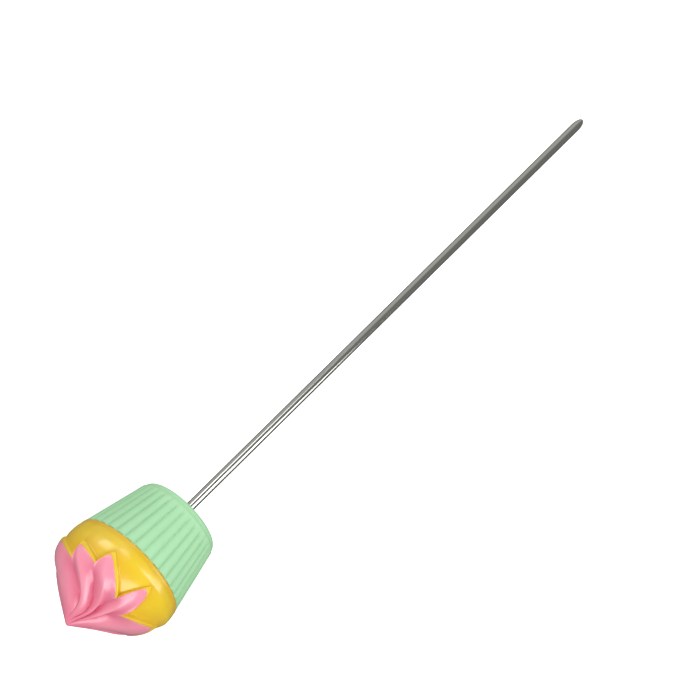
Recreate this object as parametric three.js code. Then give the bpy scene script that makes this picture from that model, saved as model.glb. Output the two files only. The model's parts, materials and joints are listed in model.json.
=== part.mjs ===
// Roasting skewer: a polished steel rod with a rounded point, held in a hollow knob shaped as a
// frosted cupcake. Millimetres. The skewer lies on the table plane z = 0 as it does when it is put
// down: the widest ring of the knob and the rod both touch the table, and the point looks along +X.
//
// Every piece is drawn upright on one common axis first. Height 0 is the outer face of the cup's
// base, heights grow towards the peak of the frosting, and the rod runs down to its point.
// Angle 0 is the side of the knob that ends up on top, and angles grow towards +Y.

import * as THREE from 'three';

// ---- driving dimensions -------------------------------------------------------------------------

const clearance = 0.3;            // gap between faces that meet

const rodRadius = 1.2;            // 3/32 inch wire
const rodLength = 155.5;          // from the cup's base to the point
const pointLength = 3.2;          // round nose, half an ellipse in outline
const rodInside = 14.8;           // length of rod inside the knob
const gripGrooves = 3;            // ring grooves that key the adhesive
const gripGrooveDepth = 0.2;
const gripGrooveLength = 1.2;
const gripGrooveBevel = 0.3;
const gripGroovePitch = 2.4;
const gripGrooveStart = 2;        // first groove, over the cup's floor
const rodChamfer = 0.3;

const cupHeight = 18.6;
const cupBaseRadius = 11.4;
const cupRimRadius = 15.5;
const cupCorner = 1.4;            // round edge of the base
const cupRimEdge = 0.3;           // broken edge of the rim
const cupWall = 1.5;
const cupFloor = 1.8;
const cupFillet = 0.8;            // at the foot of the inner wall and of the boss
const pleatCount = 33;
const pleatDepth = 0.35;
const pleatStart = 3.4;           // height at which the pleats reach their full depth
const bossRadius = 3.6;
const bossHeight = 11.8;

const frostingHeight = 21.8;      // from the cup's rim to the peak
const shoulderRadius = 16.1;      // widest ring of the frosting
const shoulderHeight = 3.5;       // its height over the rim
const coneAngle = THREE.MathUtils.degToRad(53);     // half angle of the peak
const peakRadius = 0.8;           // rounding of the peak
const leastRadius = 0.3;          // the rows below the peak stay at least this wide
const peakLean = 1.15;            // sideways shift of the peak
const peakLeanAngle = THREE.MathUtils.degToRad(128);
const belly = 0.9;                // sideways bulge of the frosting between its shoulder and its peak
const bellyAngle = THREE.MathUtils.degToRad(73);

const lipHeight = 1.5;            // rolled lip over the cup's rim
const lipOverhang = 0.3;          // how far the lip curls back under itself
const spigotDepth = 4;            // part of the dome that enters the cup
const spigotWall = 1.3;
const domeSkin = 1.4;             // wall under the seat of the swirl
const crownHeight = 14.4;         // flat top of the dome under the swirl
const pegRadius = 2.3;
const pegLength = 5.5;

const petalRise = 0.25;           // petals stand this much over the frosting's surface
const domeSlope = 0.16;           // the bare dome falls away from it by this per mm of height
const narrowFlank = 10;           // degrees from a petal's tip to a notch
const wideFlank = 32;
const narrowBend = 1.5;           // exponents of the outline's curve on such flanks
const wideBend = 0.75;
const borderBend = 0.95;          // least exponent of the border's outline
const borderAtTip = 1.15;         // width of the raised yellow border round the petals
const borderAtNotch = 0.3;
const borderWall = 0.55;          // height taken by the border's bevelled wall
const borderRise = 0.22;
const capEdge = 1.0;              // thickness of the swirl at its outline
const capEdgeSink = 0.15;         // the swirl's edge lies this much below the petals
const creaseDepth = 1.5;          // depth of the creases between petals

// The swirl is hand sculpted, so its petals differ a little. Angles are in degrees and heights
// over the rim; the crease that starts at a notch turns back by `turn` on its way to the peak.
const petals = [
  { tip: [-1, 5.9], notch: [4.5, 9.5], turn: 38 },
  { tip: [29.5, 7.8], notch: [32.5, 11.1], turn: 36 },
  { tip: [66, 7.9], notch: [98, 9.6], turn: 8 },
  { tip: [120, 6.8], notch: [131, 11.0], turn: 12 },
  { tip: [154, 6.4], notch: [166, 10.8], turn: 12 },
  { tip: [189, 7.0], notch: [200, 11.0], turn: 10 },
  { tip: [222, 6.8], notch: [232, 10.9], turn: 5 },
  { tip: [263.5, 7.6], notch: [298, 12.5], turn: -8 },
  { tip: [316, 5.4], notch: [323.5, 11.6], turn: 10 },
];

const nutOuterRadius = 4.4;
const nutThickness = 0.6;
const nutSlots = 6;
const nutSlotRadius = 2.7;
const nutToothEnd = 1.3;          // in half pitches from the start of a tooth
const nutSlotStart = 1.45;
const nutSlotEnd = 1.85;

const beadHeight = 1.2;           // bead of adhesive under the dome's spigot
const beadWidth = 1.1;
const beadFootWidth = 0.2;
const beadEdge = 0.3;

const pleatRowHeights = [cupCorner, pleatStart, 8, 13, cupHeight - 0.4];
const petalRises = [0.05, 0.15, 0.28, 0.42, 0.56, 0.7, 0.83, 0.93];   // rows from outline to peak
const domeShares = [0, 0.35, 0.7, 1];                                 // rows from lip to border
const seatShares = [0.3, 0.65];                                       // rows from outline to crown
const domeInnerHeights = [8, 3];
const columnsPerPleat = 4;
const columnsPerFlank = 4;        // mesh columns from a notch to a tip
const roundColumns = 32;

// ---- materials ----------------------------------------------------------------------------------

function material(color, roughness, metalness = 0) {
  return new THREE.MeshStandardMaterial({ color, roughness, metalness });
}

const polishedSteel = () => material(0xc4c7c2, 0.18, 1);
const springSteel = () => material(0x8f9396, 0.35, 1);
const mintPlastic = () => material(0xb4ebb6, 0.55);
const yellowEnamel = () => material(0xf0c81e, 0.22);
const pinkEnamel = () => material(0xff91af, 0.22);
const clearAdhesive = () => material(0xe9e4d2, 0.4);

// ---- turned pieces ------------------------------------------------------------------------------

// A lathe whose rows may vary round the axis. Each row is a function of a column that gives
// [radius, height] or [radius, height, angle]. Rows run up the outside and down the inside.
function turned(rows, columns) {
  const profile = rows.map(row => new THREE.Vector2(...row(columns[0])));
  const geometry = new THREE.LatheGeometry(profile, columns.length);
  const position = geometry.attributes.position;
  for (let i = 0; i < position.count; i += 1) {
    const column = columns[Math.floor(i / rows.length) % columns.length];
    const [radius, height, angle = column.angle] = rows[i % rows.length](column);
    const [leanX, leanY] = leanAt(height - cupHeight);
    position.setXYZ(i, radius * Math.cos(angle) + leanX, radius * Math.sin(angle) + leanY, height);
  }
  return geometry;
}

// The peak leans and the frosting bulges to one side; everything above the rim shifts with them.
function leanAt(height) {
  const peakHeight = frostingHeight - peakRadius;
  const peakShift = peakLean * THREE.MathUtils.clamp(height / peakHeight, 0, 1) ** 1.5;
  const overShoulder = (height - shoulderHeight) / (peakHeight - shoulderHeight);
  const bellyShift = belly * Math.sin(Math.PI * THREE.MathUtils.clamp(overShoulder, 0, 1));
  return [
    peakShift * Math.cos(peakLeanAngle) + bellyShift * Math.cos(bellyAngle),
    peakShift * Math.sin(peakLeanAngle) + bellyShift * Math.sin(bellyAngle),
  ];
}

const plainRows = points => points.map(point => () => point);

function evenColumns(count) {
  return Array.from({ length: count }, (_, i) => ({ angle: (i * 2 * Math.PI) / count }));
}

// ---- frosting surface ---------------------------------------------------------------------------

// The frosting's outline is an arc that runs tangent into the straight side of the peak.
const coneNormal = [Math.cos(coneAngle), Math.sin(coneAngle)];
const arcRadius = (coneNormal[1] * (frostingHeight - shoulderHeight) - coneNormal[0] * shoulderRadius)
  / (1 - coneNormal[0]);
const arcTopHeight = shoulderHeight + arcRadius * coneNormal[1];

function frostingRadius(height) {
  if (height > arcTopHeight) {
    return (frostingHeight - height) * Math.tan(coneAngle);
  }
  return shoulderRadius - arcRadius + Math.sqrt(arcRadius ** 2 - (height - shoulderHeight) ** 2);
}

// A narrow flank of a petal is round, and a wide one nearly straight.
function flankBend(width) {
  const bend = THREE.MathUtils.mapLinear(width, narrowFlank, wideFlank, narrowBend, wideBend);
  return THREE.MathUtils.clamp(bend, wideBend, narrowBend);
}

// Mesh columns that fall exactly on every tip and notch. Each knows the heights of the petals'
// outline and the border's outline there, its ridge (0 at a notch, 1 at a tip), and how far its
// line turns towards the peak.
function petalColumns() {
  const columns = [];
  petals.forEach(({ tip, notch, turn }, i) => {
    const next = petals[(i + 1) % petals.length];
    const nextTip = i + 1 < petals.length ? next.tip[0] : next.tip[0] + 360;
    const flanks = [
      { from: tip[0], tipHeight: tip[1], width: notch[0] - tip[0], tipTurn: turn, rising: true },
      { from: nextTip, tipHeight: next.tip[1], width: notch[0] - nextTip, tipTurn: next.turn, rising: false },
    ];
    for (const { from, tipHeight, width, tipTurn, rising } of flanks) {
      const bend = flankBend(Math.abs(width));
      const climb = notch[1] - tipHeight;
      const borderClimb = climb + borderAtTip - borderAtNotch;
      for (let step = 0; step < columnsPerFlank; step += 1) {
        const share = rising ? step / columnsPerFlank : 1 - step / columnsPerFlank;
        columns.push({
          angle: THREE.MathUtils.degToRad(from + width * share),
          outline: tipHeight + climb * share ** bend,
          border: tipHeight - borderAtTip + borderClimb * share ** Math.max(bend, borderBend),
          ridge: 1 - share,
          turn: THREE.MathUtils.degToRad(tipTurn + (turn - tipTurn) * share),
        });
      }
    }
  });
  return columns;
}

// Depth of a crease: shallow at the outline, deepest at mid height, gone at the peak.
function creaseAt(ridge, rise) {
  const depth = creaseDepth * Math.sin(Math.PI * Math.min(rise + 0.03, 1)) ** 0.8;
  return depth * (1 - ridge) ** 2;
}

// A row of the petals' outer skin; rise runs from 0 at the outline to 1 at the peak.
function petalRow(rise, sink = 0) {
  return ({ angle, outline, ridge, turn }) => {
    const height = outline + (frostingHeight - peakRadius - outline) * rise;
    const crease = creaseAt(ridge, rise) * Math.min(1, 2 * (1 - rise));
    const offset = petalRise * (1 - rise) - crease - sink;
    const radius = Math.max(frostingRadius(height) + offset * coneNormal[0], leastRadius);
    const drop = Math.max(-offset, 0) * coneNormal[1];
    return [radius, cupHeight + height - drop, angle - turn * Math.sin(Math.PI * rise ** 2)];
  };
}

// A row under the petals, at a depth below the frosting's outline.
function seatRow(rise, depth) {
  return ({ outline }) => {
    const height = outline + (crownHeight - outline) * rise;
    return [frostingRadius(height) - depth, cupHeight + height];
  };
}

// ---- pieces -------------------------------------------------------------------------------------

function skewerRod() {
  const grooves = [];
  for (let i = 0; i < gripGrooves; i += 1) {
    const foot = cupFloor + gripGrooveStart + i * gripGroovePitch;
    grooves.push(
      [rodRadius, foot],
      [rodRadius - gripGrooveDepth, foot + gripGrooveBevel],
      [rodRadius - gripGrooveDepth, foot + gripGrooveLength - gripGrooveBevel],
      [rodRadius, foot + gripGrooveLength],
    );
  }
  const point = [];
  for (let degrees = 0; degrees <= 90; degrees += 15) {
    const turn = THREE.MathUtils.degToRad(degrees);
    point.push([rodRadius * Math.sin(turn), -rodLength + pointLength * (1 - Math.cos(turn))]);
  }
  return turned(plainRows([
    ...point,
    ...grooves,
    [rodRadius, rodInside - rodChamfer],
    [rodRadius - rodChamfer, rodInside],
    [0, rodInside],
  ]), evenColumns(24));
}

function cupOuterRadius(height) {
  return cupBaseRadius + ((cupRimRadius - cupBaseRadius) * height) / cupHeight;
}

const cupInnerRadius = height => cupOuterRadius(height) - cupWall;

// Pleats are round ridges with narrow grooves between them; they fade out towards the base.
function pleatRow(height) {
  return ({ angle }) => {
    const across = Math.abs(Math.cos((angle * pleatCount) / 2));
    const fade = Math.min(height / pleatStart, 1);
    return [cupOuterRadius(height) - pleatDepth * fade * (1 - across), height];
  };
}

function linerCup() {
  const corner = [];
  for (let degrees = 0; degrees <= 90; degrees += 30) {
    const turn = THREE.MathUtils.degToRad(degrees);
    corner.push([
      cupBaseRadius - cupCorner * (1 - Math.sin(turn)),
      cupCorner * (1 - Math.cos(turn)),
    ]);
  }
  const bore = rodRadius + clearance;
  const innerFoot = cupInnerRadius(cupFloor) - cupFillet;
  return turned([
    ...plainRows([[bore, 0], ...corner.slice(0, -1)]),
    ...pleatRowHeights.map(pleatRow),
    ...plainRows([
      [cupRimRadius - cupRimEdge, cupHeight],
      [cupInnerRadius(cupHeight), cupHeight],
      [cupInnerRadius(cupHeight * 0.5), cupHeight * 0.5],
      [innerFoot, cupFloor + cupFillet],
      [innerFoot - cupFillet, cupFloor],
      [bossRadius + cupFillet, cupFloor],
      [bossRadius, cupFloor + cupFillet],
      [bossRadius, bossHeight],
      [bore, bossHeight],
      [bore, 0],
    ]),
  ], evenColumns(pleatCount * columnsPerPleat));
}

function pushNut() {
  const outline = new THREE.Shape();
  outline.absarc(0, 0, nutOuterRadius, 0, 2 * Math.PI);
  const hole = new THREE.Path();
  const bore = rodRadius + clearance;
  const halfPitch = Math.PI / nutSlots;
  for (let i = 0; i < nutSlots; i += 1) {
    const start = i * 2 * halfPitch;
    hole.absarc(0, 0, bore, start, start + nutToothEnd * halfPitch);
    hole.absarc(0, 0, nutSlotRadius, start + nutSlotStart * halfPitch, start + nutSlotEnd * halfPitch);
  }
  hole.closePath();
  outline.holes.push(hole);
  const options = { depth: nutThickness, bevelEnabled: false, curveSegments: 6 };
  const geometry = new THREE.ExtrudeGeometry(outline, options);
  geometry.translate(0, 0, bossHeight + clearance);
  return geometry;
}

// The bead of adhesive that squeezes out inside the cup, below the dome's spigot.
function rimBondRing() {
  const top = cupHeight - spigotDepth - clearance;
  const foot = top - beadHeight;
  const wall = height => cupInnerRadius(height) - clearance;
  return turned(plainRows([
    [wall(foot), foot],
    [wall(top), top],
    [wall(top) - beadWidth, top],
    [wall(top) - beadWidth, top - beadEdge],
    [wall(foot) - beadFootWidth, foot],
    [wall(foot), foot],
  ]), evenColumns(roundColumns * 2));
}

// The rolled lip: a quarter round from the cup's rim out to the frosting's surface.
function lipPoints(rim) {
  const points = [];
  for (let degrees = -90; degrees < 0; degrees += 30) {
    const turn = THREE.MathUtils.degToRad(degrees);
    points.push([
      frostingRadius(lipHeight) - lipOverhang * (1 - Math.cos(turn)),
      rim + (cupHeight + lipHeight - rim) * (1 + Math.sin(turn)),
    ]);
  }
  return points;
}

function frostingDome() {
  const rim = cupHeight + clearance;
  const spigotFoot = cupHeight - spigotDepth;
  const spigotRadius = height => cupInnerRadius(height) - clearance;
  const bare = share => ({ border }) => {
    const height = lipHeight + (border - borderWall - lipHeight) * share;
    const sink = domeSlope * Math.max(height - shoulderHeight, 0);
    return [frostingRadius(height) - sink, cupHeight + height];
  };
  const borderEdge = ({ border }) => [frostingRadius(border) + borderRise, cupHeight + border];
  const seatDepth = capEdge + clearance;
  const deepSeat = seatDepth + creaseDepth;
  const innerRadius = height => frostingRadius(height) - deepSeat - domeSkin;
  const hole = pegRadius + clearance;
  const crown = cupHeight + crownHeight;
  const closing = [spigotRadius(spigotFoot) - spigotWall, spigotFoot];
  return turned([
    ...plainRows([
      closing,
      [spigotRadius(spigotFoot), spigotFoot],
      [spigotRadius(cupHeight), rim],
      ...lipPoints(rim),
    ]),
    ...domeShares.map(bare),
    borderEdge,
    ({ outline }) => [frostingRadius(outline - clearance), cupHeight + outline - clearance],
    seatRow(0, seatDepth),
    ...seatShares.map(share => seatRow(share, deepSeat)),
    ...plainRows([
      [frostingRadius(crownHeight) - deepSeat, crown],
      [hole, crown],
      [hole, crown - domeSkin],
      [innerRadius(crownHeight - domeSkin), crown - domeSkin],
      ...domeInnerHeights.map(height => [innerRadius(height), cupHeight + height]),
      [spigotRadius(cupHeight) - spigotWall, rim],
      closing,
    ]),
  ], petalColumns());
}

function icingSwirl() {
  const floor = cupHeight + crownHeight + clearance;
  const under = (rise, depth) => ({ outline }) => {
    const height = outline + (crownHeight - outline) * rise;
    return [frostingRadius(height) - depth, cupHeight + height + clearance];
  };
  return turned([
    ...plainRows([
      [0, floor - pegLength],
      [pegRadius, floor - pegLength],
      [pegRadius, floor],
      [frostingRadius(crownHeight) - capEdge - creaseDepth, floor],
    ]),
    ...seatShares.toReversed().map(share => under(share, capEdge + creaseDepth)),
    under(0, capEdge),
    petalRow(0, capEdgeSink),
    ...petalRises.map(rise => petalRow(rise)),
    ...plainRows([[0, cupHeight + frostingHeight - peakRadius]]),
  ], petalColumns());
}

// ---- assembly -----------------------------------------------------------------------------------

function piece(name, geometry, look) {
  const mesh = new THREE.Mesh(geometry, look);
  mesh.name = name;
  return mesh;
}

const rod = piece('skewer_rod', skewerRod(), polishedSteel());
const dome = piece('frosting_dome', frostingDome(), yellowEnamel());
const upright = new THREE.Group();
upright.add(
  rod,
  piece('push_nut', pushNut(), springSteel()),
  piece('liner_cup', linerCup(), mintPlastic()),
  piece('rim_bond_ring', rimBondRing(), clearAdhesive()),
  dome,
  piece('icing_swirl', icingSwirl(), pinkEnamel()),
);

// Lowest point of a piece once the axis lies down to the given angle over the table.
function lowestPoint(mesh, angle) {
  const position = mesh.geometry.attributes.position;
  let lowest = Infinity;
  for (let i = 0; i < position.count; i += 1) {
    const level = position.getX(i) * Math.cos(angle) + position.getZ(i) * Math.sin(angle);
    lowest = Math.min(lowest, level);
  }
  return lowest;
}

// The axis angle at which the dome and the rod touch the table together, found by halving.
function restingAngle() {
  let low = 0;
  let high = THREE.MathUtils.degToRad(15);
  for (let i = 0; i < 40; i += 1) {
    const middle = (low + high) / 2;
    if (lowestPoint(dome, middle) < lowestPoint(rod, middle)) {
      low = middle;
    } else {
      high = middle;
    }
  }
  return low;
}

upright.rotation.y = restingAngle() - Math.PI / 2;

const skewer = new THREE.Group();
skewer.add(upright);
skewer.updateMatrixWorld(true);
const box = new THREE.Box3().setFromObject(upright, true);
const centre = box.getCenter(new THREE.Vector3());
upright.position.set(-centre.x, -centre.y, -box.min.z);
skewer.updateMatrixWorld(true);

export default skewer;
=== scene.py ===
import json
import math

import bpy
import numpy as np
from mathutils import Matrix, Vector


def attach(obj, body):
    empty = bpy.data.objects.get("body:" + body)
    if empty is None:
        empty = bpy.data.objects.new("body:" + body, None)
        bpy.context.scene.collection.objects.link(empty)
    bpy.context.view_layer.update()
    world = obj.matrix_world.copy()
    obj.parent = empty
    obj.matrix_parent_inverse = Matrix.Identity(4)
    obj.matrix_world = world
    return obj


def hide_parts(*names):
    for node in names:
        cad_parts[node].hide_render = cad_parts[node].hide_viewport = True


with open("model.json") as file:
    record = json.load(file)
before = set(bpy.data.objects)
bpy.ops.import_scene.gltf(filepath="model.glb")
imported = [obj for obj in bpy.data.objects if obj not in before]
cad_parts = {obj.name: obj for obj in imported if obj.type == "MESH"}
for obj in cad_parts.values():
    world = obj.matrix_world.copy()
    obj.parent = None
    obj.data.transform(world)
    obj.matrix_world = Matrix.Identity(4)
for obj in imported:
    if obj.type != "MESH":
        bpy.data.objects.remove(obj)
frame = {"nodes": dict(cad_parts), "record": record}

# Looks for the cupcake-knob roasting skewer. The knob and the rod are turned shapes on one sloping
# axis, so each visible piece is drawn upright in millimetres in the knob's own frame (height 0 at
# the cup's base, heights growing towards the peak, angle 0 on top, angles growing towards +Y) and
# its points are then moved into the CAD frame. The axis and the main sizes are read from the
# frame, and the rest are the driving dimensions below.

MM = 0.001
TURN = 2 * math.pi

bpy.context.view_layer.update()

# ---- shape ---------------------------------------------------------------------------------------

CUP_BASE_RADIUS = 11.4
CUP_CORNER = 1.4          # round edge of the cup's base
CUP_WALL = 1.5
CUP_FLOOR = 1.8
CUP_BEVEL = 0.8           # at the foot of the boss and of the wall inside
CUP_INSET = 0.6           # the wall's foot inside is this much thicker
RIM_BEVEL_WIDTH = 0.35    # outer edge of the cup's rim
RIM_BEVEL_HEIGHT = 0.25
BOSS_RADIUS = 3.6
BOSS_HEIGHT = 11.8
BORE_GAP = 0.06           # between the rod and the cup's bore
BORE_BEVEL = 0.15
BASE_RING_RADIUS = 3      # the flat base's first ring outside the bore's edge
PLEATS = 33
PLEAT_DEPTH = 0.34
PLEAT_START = 0.8         # height at which the pleats begin
PLEAT_FADE = 3.6          # height over which they grow to their full depth
GROOVE_SHARPNESS = 1.5    # exponent of the pleats' profile: over 1, it makes the grooves narrow

POINT_LENGTH = 3.2        # round nose of the rod
BUTT_BEVEL = 0.3

SHOULDER_HEIGHT = 3.5     # widest ring of the frosting, over the cup's rim
SHOULDER_OVERHANG = 0.5   # its radius, over that of the cup's rim
CONE_ANGLE = math.radians(53)
PEAK_RADIUS = 0.8
PEAK_APEX = 0.25          # height of the peak's sharp cone over its ball, in shares of PEAK_RADIUS
PEAK_LEAN = 1.15          # sideways shift of the peak
PEAK_LEAN_ANGLE = math.radians(128)
PEAK_LEAN_GROWTH = 1.5    # exponent of the lean's growth with height
BELLY = 0.9               # sideways bulge of the frosting between its shoulder and its peak
BELLY_ANGLE = math.radians(73)

SPIGOT_DEPTH = 4.0
SPIGOT_WALL = 1.3
LIP_HEIGHT = 0.8          # rounded lip over the cup's rim
LIP_OVERHANG = 0.25
CROWN_HEIGHT = 14.4       # flat top of the dome under the swirl
SEAT_DEPTH = 1.3          # the dome's surface under the swirl: below the frosting at the outline
SEAT_DEEP = 2.8           # and at the crown
SEAT_EDGE = 0.5           # height from the petals' outline to the first full depth of the seat
DOME_SKIN = 1.4
DOME_INNER_BEND = 3       # height over the rim of the bend in the dome's inside
FIT_GAP = 0.1             # between the dome and the cup's rim, and between the dome and the swirl
PEG_RADIUS = 2.3
PEG_LENGTH = 5.5

DOME_SLOPE = 0.16         # the bare dome sinks under the petals' surface by this per mm of height
BORDER_AT_TIP = 1.15      # width of the yellow border round the petals
BORDER_AT_NOTCH = 0.3
BORDER_WALL = 0.55        # height taken by the border's bevelled wall
BORDER_RISE = 0.1
BORDER_BEAD = 0.1         # rounded ridge along the border's outer edge
BORDER_SHORT = 0.1        # the border's top stops this far below the petals' outline
BORDER_TUCK = 0.05        # and its inner edge runs on and dips this far under the petals' edges
NARROW_FLANK = 10         # degrees from a petal's tip to a notch
WIDE_FLANK = 32
NARROW_BEND = 1.5         # exponents of the outline's curve on such flanks
WIDE_BEND = 0.75
BORDER_BEND = 0.95        # least exponent of the border's outline
TIP_ROUNDING = 0.2        # share of a flank over which the petals' tips are rounded
PETAL_RISE = 0.3
PETAL_ROLL = 0.9          # the petals' edges roll over within this distance
PETAL_TUCK = 0.3          # their edges reach this far under the frosting's surface
UNDERSIDE_INSET = 1.0     # first ring of the swirl's underside, inside the outline
UNDERSIDE_RISE = 0.1      # and over it
LEAST_RADIUS = 0.05       # the swirl's rows stay at least this wide

CREASE_DEPTH = 1.5
CREASE_SWELL = 0.6        # exponent along a crease: low, so that it deepens soon after the outline
CREASE_SHARPNESS = 2      # exponent across it
CREASE_FADE = 0.5         # a crease fades out over this share of its run, next to the peak

# Tone of the enamel, 0 to 1, mostly painted shade: in the pink creases, towards the peak and at the
# foot of the yellow border; at the yellow lip it is the enamel's own orange.
CREASE_SHADE_GAIN = 1.3         # how much faster a crease's painted shade grows than its depth does
CREASE_SHADE_SHARPNESS = 1.6
PEAK_SHADE = 0.6
PEAK_SHADE_START = 0.45    # share of the way from the outline to the peak
PEAK_SHADE_RUN = 0.45
LIP_TONE_RUN = 1 / 8      # the lip's tone fades over this share of the bare dome
FOOT_SHADE = 0.8              # painted shade: tone of the yellow enamel at the foot of the border
FOOT_SHADE_START = 0.35         # share of the bare dome where that painted shade begins

# Each petal's tip and the notch after it: angle in degrees and height over the rim of both, then
# the angle by which the crease turns back on its way to the peak.
PETALS = [
    (-1, 5.9, 4.5, 9.5, 38),
    (29.5, 7.8, 32.5, 11.1, 36),
    (66, 7.9, 98, 9.6, 8),
    (120, 6.8, 131, 11.0, 12),
    (154, 6.4, 166, 10.8, 12),
    (189, 7.0, 200, 11.0, 10),
    (222, 6.8, 232, 10.9, 5),
    (263.5, 7.6, 298, 12.5, -8),
    (316, 5.4, 323.5, 11.6, 10),
]

# Mesh density. Counts of rows include both ends.
COLUMNS_PER_PLEAT = 16
COLUMNS_PER_FLANK = 24
ROD_COLUMNS = 64
CUP_BASE_ROWS = 6
CUP_CORNER_ROWS = 10
CUP_WALL_ROWS = 40
LIP_ROWS = 8
DOME_ROWS = 28
BORDER_WALL_ROWS = 9
BORDER_TOP_ROWS = 5
PETAL_EDGE_RISES = [0, 0.004, 0.01, 0.02, 0.035, 0.055]   # shares of the way to the peak
PETAL_FACE_RISES = np.linspace(0.08, 0.995, 70)
POINT_ROWS = 19
WIRE_ROWS = 40
SHARP_EDGE = math.radians(50)

# Trims that keep these finer meshes inside the CAD model's box, and small tolerances.
SHOULDER_TRIM = 0.12
ROD_TRIM = 0.003
SAME_HEIGHT = 0.01
SAME_PLACE = 1e-6

# ---- the knob's own frame ------------------------------------------------------------------------


def node_points(name):
    """A CAD node's vertices as an array of rows x, y, z in metres."""
    return np.array([vertex.co for vertex in frame["nodes"][name].data.vertices])


def knob_frame():
    """Transform from the upright knob, in metres, to the CAD frame."""
    mount = frame["record"]["mounts"][0]
    down = Vector(mount["axis"]).normalized()
    axis_point = Vector(node_points("skewer_rod").mean(axis=0))
    base = axis_point + down * (Vector(mount["pos_m"]) - axis_point).dot(down)
    up = -down
    side = Vector((0, 1, 0))
    top = side.cross(up)
    turn = Matrix((top, side, up)).transposed()
    return Matrix.Translation(base) @ turn.to_4x4()


KNOB = knob_frame()
KNOB_INVERSE = KNOB.inverted()


def upright(name):
    """A CAD node's vertices in the knob's frame, in millimetres."""
    turn = np.array(KNOB_INVERSE.to_3x3())
    points = node_points(name) @ turn.T + np.array(KNOB_INVERSE.translation)
    return points / MM


def heights(name):
    """Lowest and highest point of a CAD node along the knob's axis."""
    level = upright(name)[:, 2]
    return level.min(), level.max()


def radius_below(name, height):
    """Greatest distance of a CAD node's vertices from the axis, up to a height."""
    points = upright(name)
    points = points[points[:, 2] <= height + SAME_HEIGHT]
    return np.hypot(points[:, 0], points[:, 1]).max()


ROD_FOOT, ROD_TOP = heights("skewer_rod")
ROD_RADIUS = radius_below("skewer_rod", 0) - ROD_TRIM
CUP_HEIGHT = heights("liner_cup")[1]
PEAK_HEIGHT = heights("icing_swirl")[1]

RIM = CUP_HEIGHT                                      # heights of the frosting count from here
PEAK = PEAK_HEIGHT - RIM + PEAK_APEX * PEAK_RADIUS    # where the peak's sides would meet
SHOULDER_RADIUS = radius_below("frosting_dome", RIM + SHOULDER_HEIGHT) - SHOULDER_TRIM
CUP_RIM_RADIUS = SHOULDER_RADIUS - SHOULDER_OVERHANG

# ---- frosting outline: an arc that runs tangent into the straight side of the peak ---------------

NORMAL_OUT = math.cos(CONE_ANGLE)                     # the peak's sides face this far out and up
NORMAL_UP = math.sin(CONE_ANGLE)
SHOULDER_TO_CONE = NORMAL_UP * (PEAK - SHOULDER_HEIGHT) - NORMAL_OUT * SHOULDER_RADIUS
ARC_RADIUS = SHOULDER_TO_CONE / (1 - NORMAL_OUT)
ARC_TOP = SHOULDER_HEIGHT + ARC_RADIUS * NORMAL_UP
BALL_TOP = PEAK_HEIGHT - RIM
BALL_FOOT = BALL_TOP - PEAK_RADIUS * (1 - NORMAL_UP)


def frosting_radius(height):
    """Radius of the petals' surface at a height over the rim: arc, cone, rounded peak."""
    height = np.asarray(height, float)
    arc = SHOULDER_RADIUS - ARC_RADIUS + np.sqrt(
        np.maximum(ARC_RADIUS ** 2 - (height - SHOULDER_HEIGHT) ** 2, 0))
    cone = (PEAK - height) * math.tan(CONE_ANGLE)
    ball = np.sqrt(np.maximum(PEAK_RADIUS ** 2 - (height - BALL_TOP + PEAK_RADIUS) ** 2, 0))
    return np.where(height < ARC_TOP, arc, np.where(height < BALL_FOOT, cone, ball))


def on_frosting(height, offset):
    """Radius and height of a point that stands off the petals' surface along its normal."""
    up = np.clip((height - SHOULDER_HEIGHT) / ARC_RADIUS, -1, NORMAL_UP)
    out = np.sqrt(1 - up ** 2)
    return frosting_radius(height) + offset * out, RIM + height + offset * up


def lean(height):
    """Sideways shift of the frosting, x and y, at a height over the rim."""
    share = np.clip(height / BALL_TOP, 0, 1)
    over_shoulder = np.clip((height - SHOULDER_HEIGHT) / (BALL_TOP - SHOULDER_HEIGHT), 0, 1)
    peak = PEAK_LEAN * share ** PEAK_LEAN_GROWTH
    belly = BELLY * np.sin(np.pi * over_shoulder)
    x = peak * math.cos(PEAK_LEAN_ANGLE) + belly * math.cos(BELLY_ANGLE)
    y = peak * math.sin(PEAK_LEAN_ANGLE) + belly * math.sin(BELLY_ANGLE)
    return x, y


# ---- turned meshes -------------------------------------------------------------------------------


def turned(name, rows, angles, shut=False):
    """A lathe whose rows may vary round the axis.

    A row is (radius, height, angle, tone); each may be one number or one per column, and the last
    two may be left out. Rows run up the outside and down the inside. A first or last row of radius
    0 is a pole. With shut, the last row joins the first. tone is kept as a mesh attribute. Each
    ring is shifted by the frosting's lean, which is zero from the cup's rim down.
    """
    points, tones = [], []
    for radius, height, *rest in rows:
        angle = rest[0] if rest else angles
        tone = rest[1] if len(rest) > 1 else 0.0
        shift_x, shift_y = lean(np.asarray(height, float) - RIM)
        x = radius * np.cos(angle) + shift_x
        y = radius * np.sin(angle) + shift_y
        z = np.broadcast_to(height, angles.shape)
        points.append(np.stack([x, y, z], axis=-1))
        tones.append(np.broadcast_to(tone, angles.shape))
    return skin(name, np.array(points), np.array(tones), shut)


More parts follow.
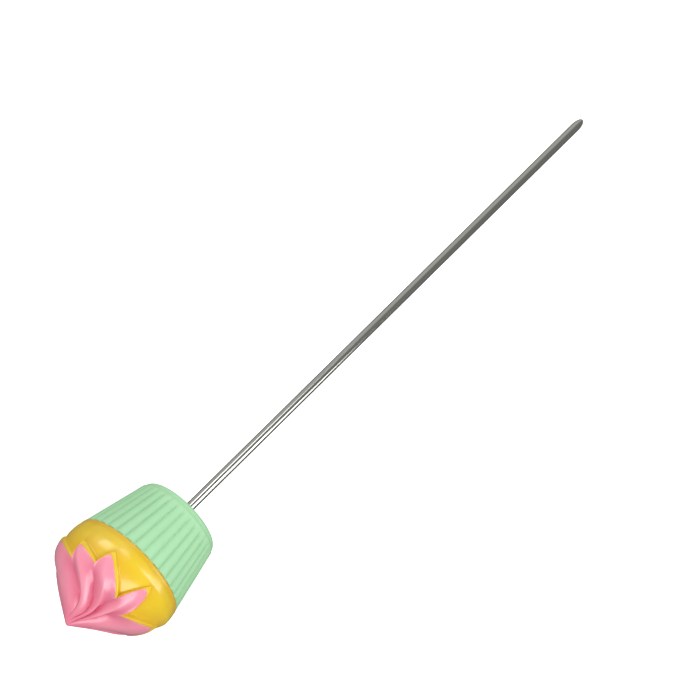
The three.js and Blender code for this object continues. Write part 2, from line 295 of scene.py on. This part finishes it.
def skin(name, points, tones, shut):
    """The mesh object over a grid of rows and columns, moved into the CAD frame."""
    row_count, column_count = tones.shape
    poles = [not shut and np.ptp(points[end], axis=0).max() < SAME_PLACE for end in (0, -1)]
    vertices, tone_values, index = [], [], []
    for i in range(row_count):
        is_pole = (i == 0 and poles[0]) or (i == row_count - 1 and poles[1])
        width = 1 if is_pole else column_count
        start = len(vertices)
        vertices.extend(points[i, :width] * MM)
        tone_values.extend(tones[i, :width])
        index.append([start + j % width for j in range(column_count)])
    faces = []
    for i in range(row_count if shut else row_count - 1):
        low, high = index[i], index[(i + 1) % row_count]
        for j in range(column_count):
            k = (j + 1) % column_count
            corners = [low[j], low[k], high[k], high[j]]
            faces.append(list(dict.fromkeys(corners)))
    mesh = bpy.data.meshes.new(name)
    mesh.from_pydata([KNOB @ Vector(vertex) for vertex in vertices], [], faces)
    mesh.attributes.new("tone", "FLOAT", "POINT").data.foreach_set("value", tone_values)
    mesh.polygons.foreach_set("use_smooth", [True] * len(mesh.polygons))
    mesh.set_sharp_from_angle(angle=SHARP_EDGE)
    mesh.update()
    piece = bpy.data.objects.new(name, mesh)
    bpy.context.scene.collection.objects.link(piece)
    return piece


def even_angles(count):
    return np.arange(count) * TURN / count


def finish_piece(piece, node, look):
    """Gives a visible piece its material, its body and the CAD node that it replaces."""
    piece.data.materials.append(look)
    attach(piece, "root")
    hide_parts(node)


# ---- pieces --------------------------------------------------------------------------------------


def smooth_step(value):
    value = np.clip(value, 0, 1)
    return value * value * (3 - 2 * value)


def cup_radius(height):
    return CUP_BASE_RADIUS + (CUP_RIM_RADIUS - CUP_BASE_RADIUS) * height / CUP_HEIGHT


def make_cup():
    """Mint cup: round pleats with narrow grooves that fade out at the round edge of the base."""
    angles = even_angles(PLEATS * COLUMNS_PER_PLEAT)
    groove = (1 - np.abs(np.cos(PLEATS * angles / 2))) ** GROOVE_SHARPNESS
    bore = ROD_RADIUS + BORE_GAP
    flat_radius = CUP_BASE_RADIUS - CUP_CORNER
    rows = [(bore, BORE_BEVEL), (bore + BORE_BEVEL, 0.0)]
    rows += [(radius, 0.0) for radius in np.linspace(BASE_RING_RADIUS, flat_radius, CUP_BASE_ROWS)]
    for turn in np.linspace(0, math.pi / 2, CUP_CORNER_ROWS)[1:]:
        radius = CUP_BASE_RADIUS - CUP_CORNER * (1 - math.sin(turn))
        rows.append((radius, CUP_CORNER * (1 - math.cos(turn))))
    for height in np.linspace(CUP_CORNER, CUP_HEIGHT - RIM_BEVEL_HEIGHT, CUP_WALL_ROWS)[1:]:
        fade = smooth_step((height - PLEAT_START) / PLEAT_FADE)
        cut = PLEAT_DEPTH * fade * groove
        # The pleats' tone is painted shade: it darkens the grooves.
        rows.append((cup_radius(height) - cut, height, angles, fade * groove))
    inner_foot = cup_radius(CUP_FLOOR) - CUP_WALL - CUP_INSET
    rows += [
        (CUP_RIM_RADIUS - RIM_BEVEL_WIDTH, CUP_HEIGHT),
        (CUP_RIM_RADIUS - CUP_WALL, CUP_HEIGHT),
        (inner_foot, CUP_FLOOR + CUP_BEVEL),
        (inner_foot - CUP_BEVEL, CUP_FLOOR),
        (BOSS_RADIUS + CUP_BEVEL, CUP_FLOOR),
        (BOSS_RADIUS, CUP_FLOOR + CUP_BEVEL),
        (BOSS_RADIUS, BOSS_HEIGHT),
        (bore, BOSS_HEIGHT),
    ]
    piece = turned("cup_shell", rows, angles, shut=True)
    finish_piece(piece, "liner_cup", mint_plastic())


def flank_bend(width):
    """Exponent of a petal's outline: narrow flanks are round, wide ones nearly straight."""
    return np.interp(width, (NARROW_FLANK, WIDE_FLANK), (NARROW_BEND, WIDE_BEND))


def rounded_start(share):
    """Runs from 0 to 1 as share does, but starts level, as a petal's outline does at its tip."""
    end = math.hypot(1, TIP_ROUNDING) - TIP_ROUNDING
    return (np.hypot(share, TIP_ROUNDING) - TIP_ROUNDING) / end


def petal_columns():
    """Columns that fall on every tip and notch.

    Returns for each column its angle, the heights of the petals' outline and of the border's
    outline, its ridge (0 at a notch, 1 at a tip), and how far its line turns towards the peak.
    """
    columns = []
    for i, (tip, tip_height, notch, notch_height, turn) in enumerate(PETALS):
        next_tip, next_height, _, _, next_turn = PETALS[(i + 1) % len(PETALS)]
        if next_tip < tip:
            next_tip += 360
        flanks = (
            (tip, tip_height, notch - tip, turn, turn, False),
            (next_tip, next_height, notch - next_tip, next_turn, turn, True),
        )
        for tip_angle, height, width, tip_turn, notch_turn, from_notch in flanks:
            share = np.arange(COLUMNS_PER_FLANK) / COLUMNS_PER_FLANK
            if from_notch:
                share = 1 - share
            climb = notch_height - height
            bend = flank_bend(abs(width))
            outline = height + climb * rounded_start(share) ** bend
            border_climb = climb + BORDER_AT_TIP - BORDER_AT_NOTCH
            border = height - BORDER_AT_TIP + border_climb * share ** max(bend, BORDER_BEND)
            line_turn = tip_turn + (notch_turn - tip_turn) * share
            columns.append([tip_angle + width * share, outline, border, 1 - share, line_turn])
    angle, outline, border, ridge, line_turn = np.concatenate(columns, axis=1)
    return np.radians(angle), outline, border, ridge, np.radians(line_turn)


ANGLES, OUTLINE, BORDER, RIDGE, LINE_TURN = petal_columns()


def make_swirl():
    """Pink swirl: petals that roll over at their edges, with creases that run to the peak."""
    height_left = BALL_TOP - OUTLINE

    def petal_row(rise):
        height = OUTLINE + height_left * rise
        roll = np.clip(height_left * rise / PETAL_ROLL, 0, 1)
        lift = BORDER_RISE + (PETAL_RISE - BORDER_RISE) * np.sqrt(1 - (1 - roll) ** 2)
        deepest = math.sin(math.pi * rise) ** CREASE_SWELL * min(1, (1 - rise) / CREASE_FADE)
        crease = CREASE_DEPTH * deepest * (1 - RIDGE) ** CREASE_SHARPNESS
        radius, level = on_frosting(height, lift * (1 - rise) - crease)
        angle = ANGLES - LINE_TURN * math.sin(math.pi * rise ** 2)
        # Painted shade: the pink is darkened in the creases and towards the peak.
        crease_shade = (1 - RIDGE) ** CREASE_SHADE_SHARPNESS * min(1, CREASE_SHADE_GAIN * deepest)
        peak_shade = PEAK_SHADE * smooth_step((rise - PEAK_SHADE_START) / PEAK_SHADE_RUN)
        return np.maximum(radius, LEAST_RADIUS), level, angle, np.maximum(crease_shade, peak_shade)

    underside = RIM + CROWN_HEIGHT
    rows = [
        (0.0, underside - PEG_LENGTH),
        (PEG_RADIUS, underside - PEG_LENGTH),
        (PEG_RADIUS, underside),
        (frosting_radius(CROWN_HEIGHT) - SEAT_DEEP, underside),
        (frosting_radius(OUTLINE) - UNDERSIDE_INSET, RIM + OUTLINE + UNDERSIDE_RISE),
        on_frosting(OUTLINE, -PETAL_TUCK),
    ]
    rows += [petal_row(rise) for rise in (*PETAL_EDGE_RISES, *PETAL_FACE_RISES)]
    rows.append((0.0, PEAK_HEIGHT))
    piece = turned("petal_swirl", rows, ANGLES)
    finish_piece(piece, "icing_swirl", pink_enamel())


def make_dome():
    """Yellow dome: rolled lip over the cup, bare dome, and a raised border round the petals."""
    spigot_foot = CUP_HEIGHT - SPIGOT_DEPTH
    spigot_foot_radius = cup_radius(spigot_foot) - CUP_WALL - FIT_GAP
    spigot_top_radius = CUP_RIM_RADIUS - CUP_WALL - FIT_GAP
    rows = [
        (spigot_foot_radius - SPIGOT_WALL, spigot_foot),
        (spigot_foot_radius, spigot_foot),
        (spigot_top_radius, RIM),
    ]
    lip_radius = frosting_radius(LIP_HEIGHT)
    for turn in np.linspace(-math.pi / 2, 0, LIP_ROWS)[:-1]:
        radius = lip_radius - LIP_OVERHANG * (1 - math.cos(turn))
        rows.append((radius, RIM + LIP_HEIGHT * (1 + math.sin(turn)), ANGLES, 1.0))
    foot = BORDER - BORDER_WALL
    for share in np.linspace(0, 1, DOME_ROWS):
        height = LIP_HEIGHT + (foot - LIP_HEIGHT) * share
        radius, level = on_frosting(height, -DOME_SLOPE * np.maximum(height - SHOULDER_HEIGHT, 0))
        lip_tone = 1 - smooth_step(share / LIP_TONE_RUN)
        # Painted shade: the bare dome darkens towards the foot of the border.
        foot_shade = FOOT_SHADE * smooth_step((share - FOOT_SHADE_START) / (1 - FOOT_SHADE_START))
        rows.append((radius, level, ANGLES, lip_tone + foot_shade))
    foot_sink = DOME_SLOPE * np.maximum(foot - SHOULDER_HEIGHT, 0)
    for share in np.linspace(0, 1, BORDER_WALL_ROWS)[1:]:
        offset = -foot_sink + (foot_sink + BORDER_RISE + BORDER_BEAD) * smooth_step(share)
        radius, level = on_frosting(foot + BORDER_WALL * share, offset)
        # Painted shade on the border's wall, darkest at its foot.
        rows.append((radius, level, ANGLES, FOOT_SHADE * (1 - share)))
    for share in np.linspace(0, 1, BORDER_TOP_ROWS)[1:]:
        height = BORDER + (OUTLINE - BORDER_SHORT - BORDER) * share
        rows.append(on_frosting(height, BORDER_RISE + BORDER_BEAD * (1 - smooth_step(share))))

    def inside(height):
        """Point of the dome's inner surface at a height over the rim."""
        return frosting_radius(height) - SEAT_DEEP - DOME_SKIN, RIM + height

    crown = RIM + CROWN_HEIGHT - FIT_GAP
    crown_underside = CROWN_HEIGHT - DOME_SKIN
    rows += [
        on_frosting(OUTLINE + BORDER_TUCK, BORDER_RISE - BORDER_TUCK),
        (frosting_radius(OUTLINE + SEAT_EDGE) - SEAT_DEPTH, RIM + OUTLINE + SEAT_EDGE),
        (frosting_radius(CROWN_HEIGHT) - SEAT_DEEP - FIT_GAP, crown),
        (PEG_RADIUS + FIT_GAP, crown),
        (PEG_RADIUS + FIT_GAP, RIM + crown_underside),
        inside(crown_underside),
        inside(DOME_INNER_BEND),
        (spigot_top_radius - SPIGOT_WALL, RIM),
    ]
    piece = turned("dome_shell", rows, ANGLES, shut=True)
    finish_piece(piece, "frosting_dome", yellow_enamel())


def make_rod():
    """Polished rod with a rounded point."""
    angles = even_angles(ROD_COLUMNS)
    rows = []
    for turn in np.linspace(0, math.pi / 2, POINT_ROWS):
        rows.append((ROD_RADIUS * math.sin(turn), ROD_FOOT + POINT_LENGTH * (1 - math.cos(turn))))
    for height in np.linspace(ROD_FOOT + POINT_LENGTH, ROD_TOP - BUTT_BEVEL, WIRE_ROWS)[1:]:
        rows.append((ROD_RADIUS, height))
    rows += [(ROD_RADIUS - BUTT_BEVEL, ROD_TOP), (0.0, ROD_TOP)]
    piece = turned("rod_wire", rows, angles)
    finish_piece(piece, "skewer_rod", polished_steel())


# ---- materials -----------------------------------------------------------------------------------


class Look:
    """A Principled material with helpers for its procedural detail."""

    def __init__(self, name, **sockets):
        self.material = bpy.data.materials.new(name)
        self.material.use_nodes = True
        self.tree = self.material.node_tree
        self.shader = self.tree.nodes["Principled BSDF"]
        for socket, value in sockets.items():
            self.shader.inputs[socket.replace("_", " ")].default_value = value
        self.space = self.node("ShaderNodeTexCoord").outputs["Object"]

    def node(self, kind, **settings):
        node = self.tree.nodes.new(kind)
        for setting, value in settings.items():
            setattr(node, setting, value)
        return node

    def link(self, output, target):
        self.tree.links.new(output, target)

    def noise(self, size, detail=3.0, length=1.0):
        """Noise of about the given size in millimetres, drawn out along the rod by a factor."""
        upright_place = self.node("ShaderNodeMapping", vector_type="TEXTURE")
        upright_place.inputs["Location"].default_value = KNOB.translation
        upright_place.inputs["Rotation"].default_value = KNOB.to_euler()
        upright_place.inputs["Scale"].default_value = (1, 1, length)
        self.link(self.space, upright_place.inputs["Vector"])
        noise = self.node("ShaderNodeTexNoise")
        noise.inputs["Scale"].default_value = 1 / (size * MM)
        noise.inputs["Detail"].default_value = detail
        self.link(upright_place.outputs["Vector"], noise.inputs["Vector"])
        return noise.outputs["Fac"]

    def tone(self, most):
        """The mesh's tone, scaled to run from 0 to the given share."""
        attribute = self.node("ShaderNodeAttribute", attribute_name="tone")
        return self.between(attribute.outputs["Fac"], 0, most)

    def between(self, factor, low, high):
        """Maps 0..1 to a range of numbers."""
        spread = self.node("ShaderNodeMapRange")
        spread.inputs["To Min"].default_value = low
        spread.inputs["To Max"].default_value = high
        self.link(factor, spread.inputs["Value"])
        return spread.outputs["Result"]

    def mix(self, factor, first, second):
        """Mixes two colours, or a colour socket and a colour."""
        blend = self.node("ShaderNodeMix", data_type="RGBA")
        self.link(factor, blend.inputs["Factor"])
        for socket, colour in ((blend.inputs["A"], first), (blend.inputs["B"], second)):
            if isinstance(colour, tuple):
                socket.default_value = (*colour, 1)
            else:
                self.link(colour, socket)
        return blend.outputs["Result"]

    def colour(self, output):
        self.link(output, self.shader.inputs["Base Color"])

    def roughness(self, output):
        self.link(output, self.shader.inputs["Roughness"])

    def bump(self, height, depth):
        """Adds a bump from a 0..1 height to any that is there. The depth is in millimetres."""
        bump = self.node("ShaderNodeBump")
        bump.inputs["Distance"].default_value = depth * MM
        self.link(height, bump.inputs["Height"])
        previous = self.shader.inputs["Normal"]
        if previous.links:
            self.link(previous.links[0].from_socket, bump.inputs["Normal"])
        self.link(bump.outputs["Normal"], previous)


def mint_plastic():
    """Satin moulded plastic, with painted shade that darkens it in the grooves."""
    look = Look("mint_plastic", IOR=1.46)
    # Painted shade: the tone mixes this darker mint into the grooves.
    groove_shade_colour = (0.33, 0.66, 0.36)
    base = look.mix(look.noise(size=5, detail=2), (0.43, 0.80, 0.45), (0.49, 0.85, 0.50))
    look.colour(look.mix(look.tone(most=0.75), base, groove_shade_colour))
    look.roughness(look.between(look.noise(size=0.8), 0.42, 0.52))
    look.bump(look.noise(size=0.25), depth=0.012)
    return look.material


def yellow_enamel():
    """Glossy enamel, more orange at the rolled lip, and darker and more orange with painted shade
    at the foot of the border.
    """
    look = Look("yellow_enamel", IOR=1.5, Coat_Weight=0.6, Coat_Roughness=0.2)
    # orange is the lip's own colour and also the colour of the painted shade at the foot of the
    # border.
    orange = (0.80, 0.43, 0.010)
    base = look.mix(look.noise(size=4, detail=2), (0.84, 0.55, 0.010), (0.93, 0.66, 0.022))
    look.colour(look.mix(look.tone(most=0.6), base, orange))
    look.roughness(look.between(look.noise(size=1.5), 0.30, 0.40))
    look.bump(look.noise(size=4.5, detail=1), depth=0.25)
    return look.material


def pink_enamel():
    """Glossy enamel with painted shade: darker in the creases and towards the peak."""
    look = Look("pink_enamel", IOR=1.5, Coat_Weight=0.8, Coat_Roughness=0.2)
    # Painted shade: the colour that the tone mixes in at the creases and towards the peak.
    crease_shade_colour = (0.76, 0.105, 0.215)
    base = look.mix(look.noise(size=4, detail=2), (1.0, 0.29, 0.40), (1.0, 0.36, 0.485))
    look.colour(look.mix(look.tone(most=0.85), base, crease_shade_colour))
    look.roughness(look.between(look.noise(size=1.5), 0.32, 0.42))
    look.bump(look.noise(size=3.5, detail=1), depth=0.10)
    return look.material


def steel(name, colour, roughness, grain):
    """Drawn steel: fine lines along the wire, as deep as grain in millimetres."""
    look = Look(name, Metallic=1.0)
    dull_colour = tuple(channel * 0.92 for channel in colour)
    lines = look.noise(size=0.12, detail=4, length=80)
    look.colour(look.mix(look.noise(size=6, detail=2, length=3), dull_colour, colour))
    look.roughness(look.between(lines, roughness * 0.8, roughness * 1.3))
    look.bump(lines, depth=grain)
    return look.material


def polished_steel():
    return steel("polished_steel", (0.55, 0.57, 0.52), roughness=0.08, grain=0.0012)


def spring_steel():
    return steel("spring_steel", (0.42, 0.43, 0.45), roughness=0.3, grain=0.004)


def cured_adhesive():
    look = Look("clear_adhesive", IOR=1.5)
    look.colour(look.mix(look.noise(size=2), (0.80, 0.76, 0.62), (0.88, 0.85, 0.74)))
    look.roughness(look.between(look.noise(size=0.7), 0.25, 0.45))
    look.bump(look.noise(size=1.0), depth=0.05)
    return look.material


def dress_node(name, look):
    """Gives a CAD node that stays in the model its own material."""
    materials = frame["nodes"][name].data.materials
    materials.clear()
    materials.append(look)


# ---- studio --------------------------------------------------------------------------------------

# Lengths here are in metres, apart from the lens and the sensor, in millimetres.
VIEW_AZIMUTH = math.radians(-48.9)
VIEW_ELEVATION = math.radians(65.2)
VIEW_DISTANCE = 0.85
LENS = 179.6
SENSOR_WIDTH = 36
CLIP_START = 0.02
CLIP_END = 20
AIM_RIGHT = 0.0412        # the view's centre, from the cup's base
AIM_UP = 0.0404

FLOOR_HALF = 3.0
FLOOR_DROP = 0.0001       # keeps the floor clear of what lies on it
FLOOR_SEEN = (0.97, 0.97, 0.97)
FLOOR_REFLECTED = (0.22, 0.22, 0.21)
FLOOR_GLOW = 0.8

WORLD_DIM = 0.25
WORLD_BRIGHT = 0.60
WORLD_EDGE = 0.3          # dim turns to bright where a direction's Y is within this of zero

KNOB_MIDDLE = (-0.078, 0, 0.016)

# Softboxes that face the knob: name, place, width and height, radiance.
SOFTBOXES = [
    ("overhead", (0.17, 0.09, 0.74), (0.24, 0.32), 3.2),
    ("side", (0.16, -0.67, 0.34), (0.26, 0.78), 4.9),
    ("left", (-0.04, 0.45, 0.60), (0.26, 0.30), 4.8),
    ("front", (-0.66, -0.34, 0.24), (0.50, 0.40), 4.3),
]


def view_axes():
    """The camera's right, up and back directions."""
    flat = Vector((math.sin(VIEW_AZIMUTH), -math.cos(VIEW_AZIMUTH), 0))
    back = flat * math.cos(VIEW_ELEVATION) + Vector((0, 0, math.sin(VIEW_ELEVATION)))
    right = Vector((-flat.y, flat.x, 0))
    return right, back.cross(right), back


def make_camera():
    right, up, back = view_axes()
    data = bpy.data.cameras.new("camera")
    data.lens = LENS
    data.sensor_width = SENSOR_WIDTH
    data.clip_start = CLIP_START
    data.clip_end = CLIP_END
    camera = bpy.data.objects.new("camera", data)
    place = KNOB.translation + right * AIM_RIGHT + up * AIM_UP + back * VIEW_DISTANCE
    turn = Matrix((right, up, back)).transposed()
    camera.matrix_world = Matrix.Translation(place) @ turn.to_4x4()
    bpy.context.scene.collection.objects.link(camera)
    bpy.context.scene.camera = camera


def make_softbox(name, place, size, radiance):
    """A rectangular area light that faces the knob."""
    data = bpy.data.lights.new(name, "AREA")
    data.shape = "RECTANGLE"
    data.size, data.size_y = size
    data.energy = radiance * math.pi * size[0] * size[1]
    light = bpy.data.objects.new(name, data)
    facing = (Vector(KNOB_MIDDLE) - Vector(place)).to_track_quat("-Z", "Y")
    light.matrix_world = Matrix.Translation(place) @ facing.to_matrix().to_4x4()
    bpy.context.scene.collection.objects.link(light)


def make_floor():
    """Plain pale floor, darker in reflections and bounced light than the camera sees it."""
    mesh = bpy.data.meshes.new("floor")
    corners = [(-1, -1), (1, -1), (1, 1), (-1, 1)]
    places = [(x * FLOOR_HALF, y * FLOOR_HALF, -FLOOR_DROP) for x, y in corners]
    mesh.from_pydata(places, [], [(0, 1, 2, 3)])
    floor = bpy.data.objects.new("floor", mesh)
    bpy.context.scene.collection.objects.link(floor)
    look = Look("floor", Roughness=0.9)
    look.shader.inputs["Specular IOR Level"].default_value = 0.0
    seen = look.node("ShaderNodeLightPath").outputs["Is Camera Ray"]
    look.colour(look.mix(seen, FLOOR_REFLECTED, FLOOR_SEEN))
    look.shader.inputs["Emission Color"].default_value = (1, 1, 1, 1)
    look.link(look.between(seen, 0, FLOOR_GLOW), look.shader.inputs["Emission Strength"])
    mesh.materials.append(look.material)


def make_world():
    """Studio walls, brighter on the +Y side than on the -Y side."""
    world = bpy.data.worlds.new("studio")
    world.use_nodes = True
    nodes, links = world.node_tree.nodes, world.node_tree.links
    direction = nodes.new("ShaderNodeSeparateXYZ")
    links.new(nodes.new("ShaderNodeTexCoord").outputs["Generated"], direction.inputs["Vector"])
    level = nodes.new("ShaderNodeMapRange")
    level.interpolation_type = "SMOOTHSTEP"
    level.inputs["From Min"].default_value = -WORLD_EDGE
    level.inputs["From Max"].default_value = WORLD_EDGE
    level.inputs["To Min"].default_value = WORLD_DIM
    level.inputs["To Max"].default_value = WORLD_BRIGHT
    links.new(direction.outputs["Y"], level.inputs["Value"])
    links.new(level.outputs["Result"], nodes["Background"].inputs["Strength"])
    nodes["Background"].inputs["Color"].default_value = (1, 1, 1, 1)
    bpy.context.scene.world = world


# ---- scene ---------------------------------------------------------------------------------------

make_camera()
make_cup()
make_dome()
make_swirl()
make_rod()
dress_node("push_nut", spring_steel())
dress_node("rim_bond_ring", cured_adhesive())
make_floor()
make_world()
for softbox in SOFTBOXES:
    make_softbox(*softbox)
bpy.context.scene.view_settings.view_transform = "Standard"

bpy.context.view_layer.update()
